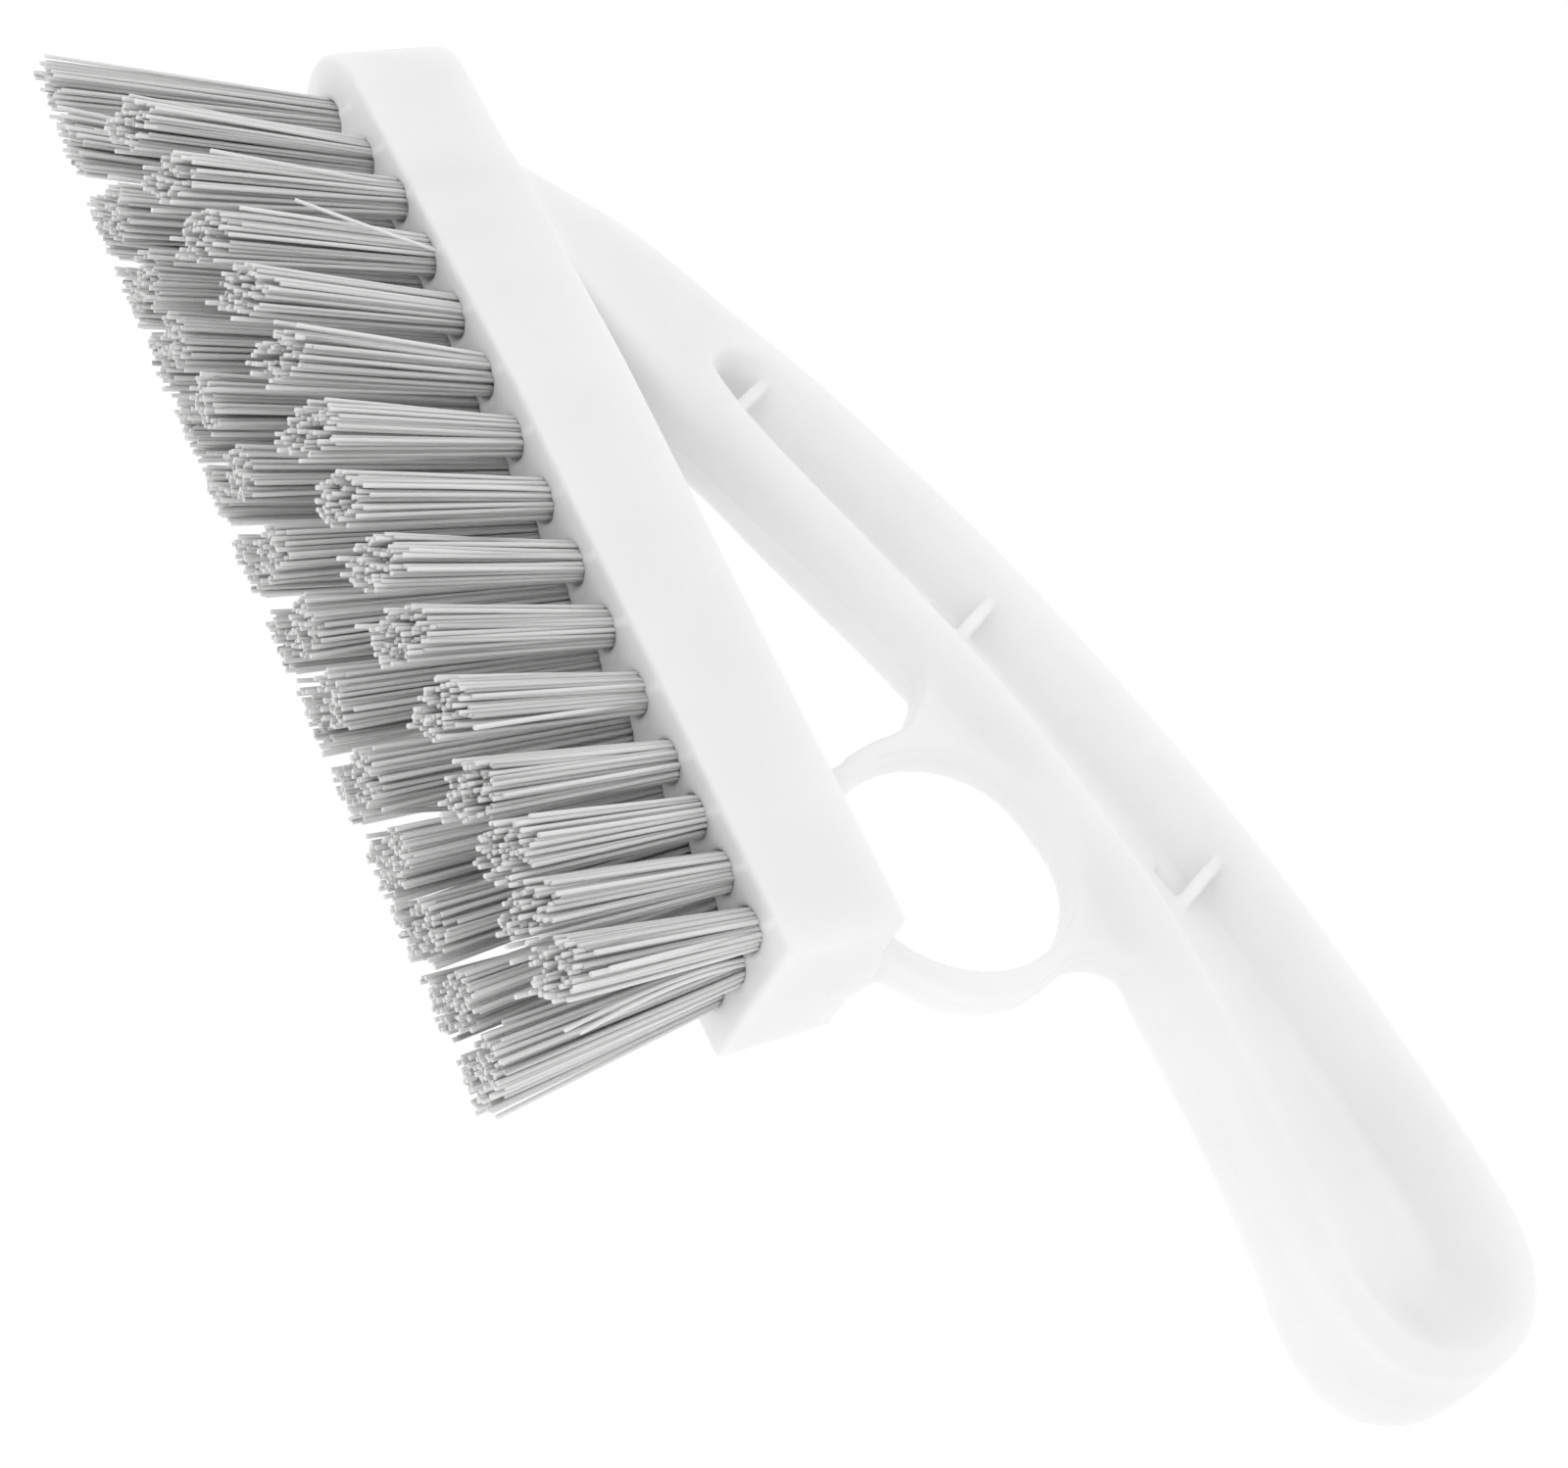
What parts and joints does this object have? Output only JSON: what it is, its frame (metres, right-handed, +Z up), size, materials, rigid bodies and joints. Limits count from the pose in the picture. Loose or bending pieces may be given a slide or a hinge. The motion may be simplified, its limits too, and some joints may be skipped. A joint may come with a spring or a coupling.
{
  "type": "grout brush",
  "caption": "Long narrow scrubbing brush moulded in one piece, with an arched ribbed handle, a finger ring and staple-set bristle tufts.",
  "frame": {"origin": "middle of the whole brush seen from above, at the height of the block's lower side face, on which the brush lies", "axes": "+X along the block from the nose towards the grip, +Y from the bristle tips towards the handle, +Z up, across the brush"},
  "size_m": [0.2132, 0.1094, 0.029],
  "materials": {
    "body": "satin",
    "bristle": "satin",
    "anchor": "satin"
  },
  "bodies": {
    "root": {"moulding": "body", "anchors": "anchor", "tuft_01": "bristle", "tuft_02": "bristle", "tuft_03": "bristle", "tuft_04": "bristle", "tuft_05": "bristle", "tuft_06": "bristle", "tuft_07": "bristle", "tuft_08": "bristle", "tuft_09": "bristle", "tuft_10": "bristle", "tuft_11": "bristle", "tuft_12": "bristle", "tuft_13": "bristle", "tuft_14": "bristle", "tuft_15": "bristle", "tuft_16": "bristle", "tuft_17": "bristle", "tuft_18": "bristle", "tuft_19": "bristle", "tuft_20": "bristle", "tuft_21": "bristle", "tuft_22": "bristle", "tuft_23": "bristle", "tuft_24": "bristle", "tuft_25": "bristle", "tuft_26": "bristle", "tuft_27": "bristle", "tuft_28": "bristle", "tuft_29": "bristle", "tuft_30": "bristle", "tuft_31": "bristle", "tuft_32": "bristle", "tuft_33": "bristle", "tuft_34": "bristle", "tuft_35": "bristle", "tuft_36": "bristle", "tuft_37": "bristle", "tuft_38": "bristle", "tuft_39": "bristle", "tuft_40": "bristle", "tuft_41": "bristle", "tuft_42": "bristle"}
  },
  "joints": []
}
